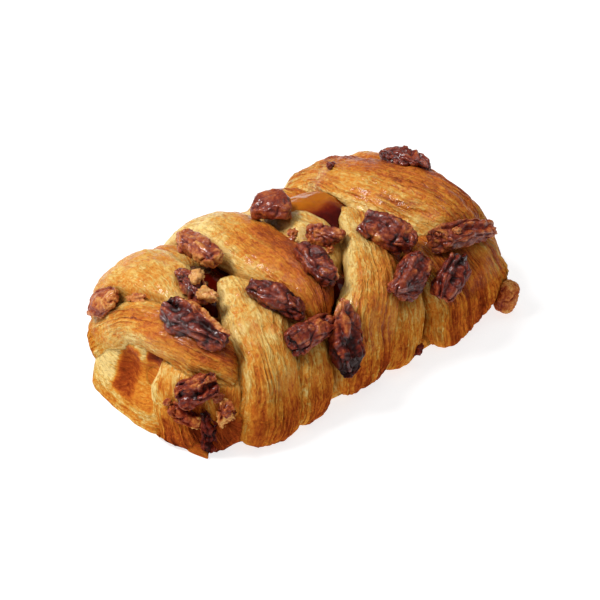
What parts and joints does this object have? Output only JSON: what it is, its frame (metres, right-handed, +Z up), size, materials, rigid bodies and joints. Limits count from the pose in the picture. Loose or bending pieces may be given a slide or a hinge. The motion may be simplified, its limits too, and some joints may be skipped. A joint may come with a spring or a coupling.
{
  "type": "maple pecan plait",
  "caption": "Plaited Danish pastry: strips of laminated dough folded over a maple filling from both long sides, with broken pecan pieces baked on top.",
  "frame": {"origin": "middle of the plait's footprint, on the surface it rests on", "axes": "+X along the plait, +Y towards its far long side, +Z up"},
  "size_m": [0.1202, 0.0796, 0.0386],
  "materials": {
    "dough": "egg-glazed baked laminated dough, satin",
    "maple_filling": "glossy cooked maple filling",
    "pecan": "syrup-glazed roasted nut"
  },
  "bodies": {
    "root": {"dough": "dough", "maple_filling": "maple_filling", "pecan_01": "pecan", "pecan_02": "pecan", "pecan_03": "pecan", "pecan_04": "pecan", "pecan_05": "pecan", "pecan_06": "pecan", "pecan_07": "pecan", "pecan_08": "pecan", "pecan_09": "pecan", "pecan_10": "pecan", "pecan_11": "pecan", "pecan_12": "pecan", "pecan_13": "pecan", "pecan_14": "pecan", "pecan_15": "pecan", "pecan_16": "pecan", "pecan_17": "pecan", "pecan_18": "pecan", "pecan_19": "pecan", "pecan_20": "pecan"}
  },
  "joints": []
}
